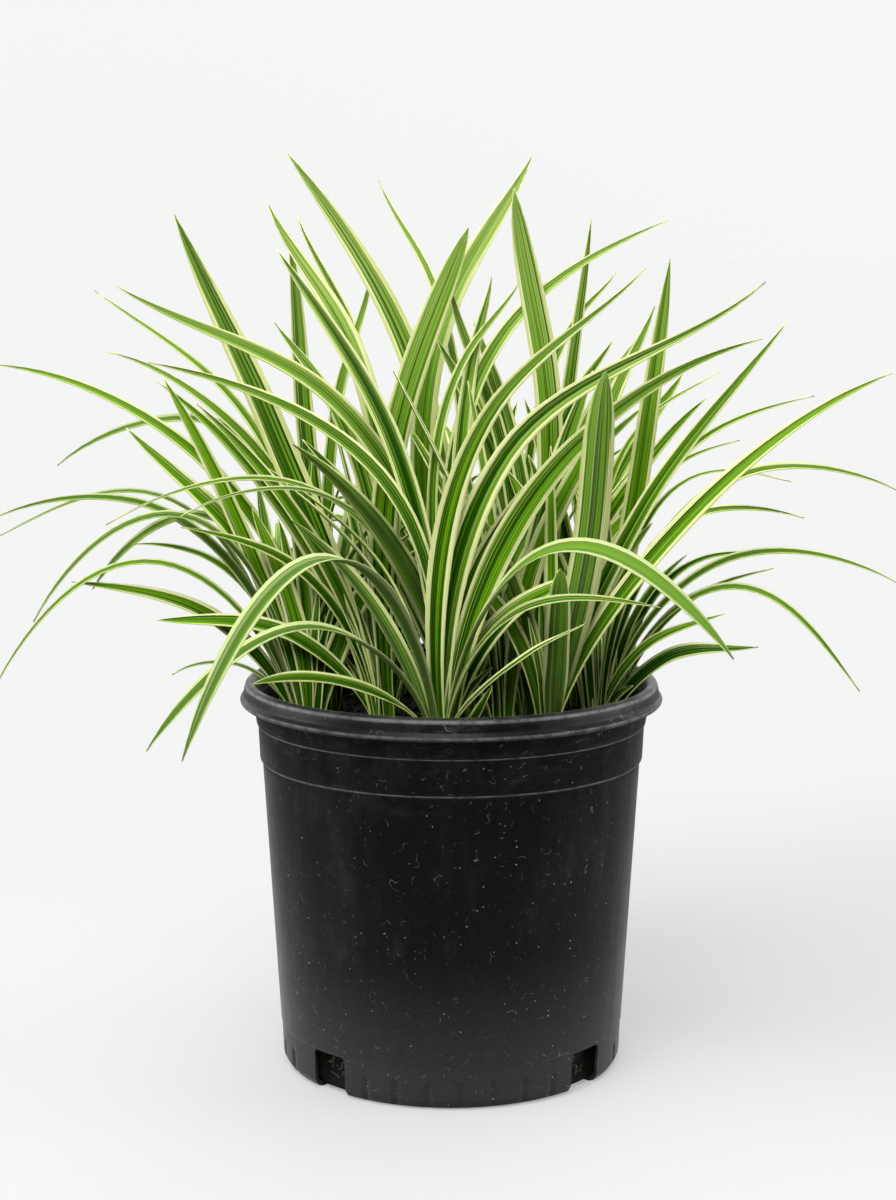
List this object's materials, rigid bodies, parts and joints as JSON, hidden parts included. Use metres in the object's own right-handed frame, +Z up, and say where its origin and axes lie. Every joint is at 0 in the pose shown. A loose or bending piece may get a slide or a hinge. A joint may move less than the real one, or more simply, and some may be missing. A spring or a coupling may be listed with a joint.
{
  "type": "potted flax lily",
  "caption": "Clump of long arching striped leaves in a round black nursery pot with a rolled rim and drain notches.",
  "frame": {"origin": "centre of the pot's flat base, on the pot's own axis", "axes": "+Z up along the pot's axis, -Y towards the front, where the picture was taken from"},
  "size_m": [0.4925, 0.4826, 0.511],
  "materials": {
    "pot_black_plastic": "matte moulded plastic, scuffed",
    "potting_mix_dark": "coarse dark potting mix",
    "leaf_green": "satin leaf, green with cream margins"
  },
  "bodies": {
    "root": {"pot": "pot_black_plastic", "potting_mix": "potting_mix_dark", "fan_front": "leaf_green", "fan_right_near": "leaf_green", "fan_front_right": "leaf_green", "fan_left_mid": "leaf_green", "fan_middle": "leaf_green", "fan_right_mid": "leaf_green", "fan_front_left": "leaf_green", "fan_back_mid": "leaf_green", "fan_left_back": "leaf_green", "fan_left_rim": "leaf_green", "fan_right_back": "leaf_green", "fan_right_rim": "leaf_green", "fan_back_left": "leaf_green", "fan_back": "leaf_green", "fan_left_inner": "leaf_green", "fan_right_far": "leaf_green", "fan_inner": "leaf_green"}
  },
  "joints": []
}
